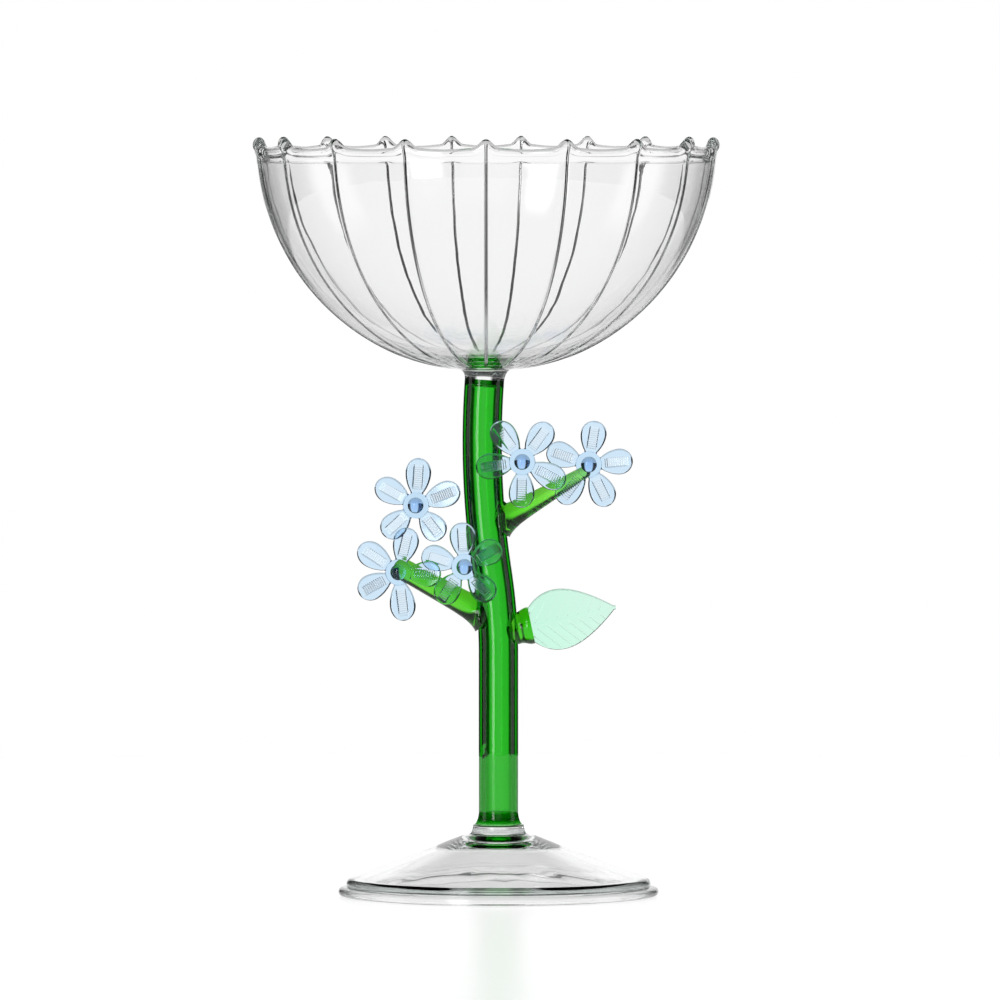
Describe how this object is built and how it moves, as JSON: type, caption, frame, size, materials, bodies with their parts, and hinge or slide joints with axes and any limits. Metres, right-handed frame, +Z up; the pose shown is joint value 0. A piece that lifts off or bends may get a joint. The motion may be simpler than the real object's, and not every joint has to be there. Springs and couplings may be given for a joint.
{
  "type": "stemmed cocktail glass",
  "caption": "Coupe bowl with a fluted rim on a bent tubular green stem with side branches, pale blue flowers and a leaf, on a conical foot.",
  "frame": {"origin": "Centre of the foot's underside, on the surface that the glass stands on.", "axes": "+Z up. The glass is seen from -Y, with the flowers' faces turned to -Y; +X is to the right of that view."},
  "size_m": [0.1121, 0.1127, 0.1821],
  "materials": {
    "clear_glass": "polished clear",
    "green_glass": "polished transparent green",
    "leaf_glass": "polished pale mint",
    "petal_glass": "crimped pale blue",
    "bead_glass": "polished sky blue"
  },
  "bodies": {
    "root": {"foot": "clear_glass", "foot_collar": "clear_glass", "stem_tube": "green_glass", "bowl_collar": "clear_glass", "bowl": "clear_glass", "branch_upper": "green_glass", "branch_lower": "green_glass", "leaf_knob": "green_glass", "leaf": "leaf_glass", "flower_a_disc": "petal_glass", "flower_a_bead": "bead_glass", "flower_a_petal_1": "petal_glass", "flower_a_petal_2": "petal_glass", "flower_a_petal_3": "petal_glass", "flower_a_petal_4": "petal_glass", "flower_a_petal_5": "petal_glass", "flower_b_disc": "petal_glass", "flower_b_bead": "bead_glass", "flower_b_petal_1": "petal_glass", "flower_b_petal_2": "petal_glass", "flower_b_petal_3": "petal_glass", "flower_b_petal_4": "petal_glass", "flower_b_petal_5": "petal_glass", "flower_c_disc": "petal_glass", "flower_c_bead": "bead_glass", "flower_c_petal_1": "petal_glass", "flower_c_petal_2": "petal_glass", "flower_c_petal_3": "petal_glass", "flower_c_petal_4": "petal_glass", "flower_c_petal_5": "petal_glass", "flower_d_disc": "petal_glass", "flower_d_bead": "bead_glass", "flower_d_petal_1": "petal_glass", "flower_d_petal_2": "petal_glass", "flower_d_petal_3": "petal_glass", "flower_d_petal_4": "petal_glass", "flower_d_petal_5": "petal_glass", "flower_e_disc": "petal_glass", "flower_e_bead": "bead_glass", "flower_e_petal_1": "petal_glass", "flower_e_petal_2": "petal_glass", "flower_e_petal_3": "petal_glass", "flower_e_petal_4": "petal_glass", "flower_e_petal_5": "petal_glass"}
  },
  "joints": []
}
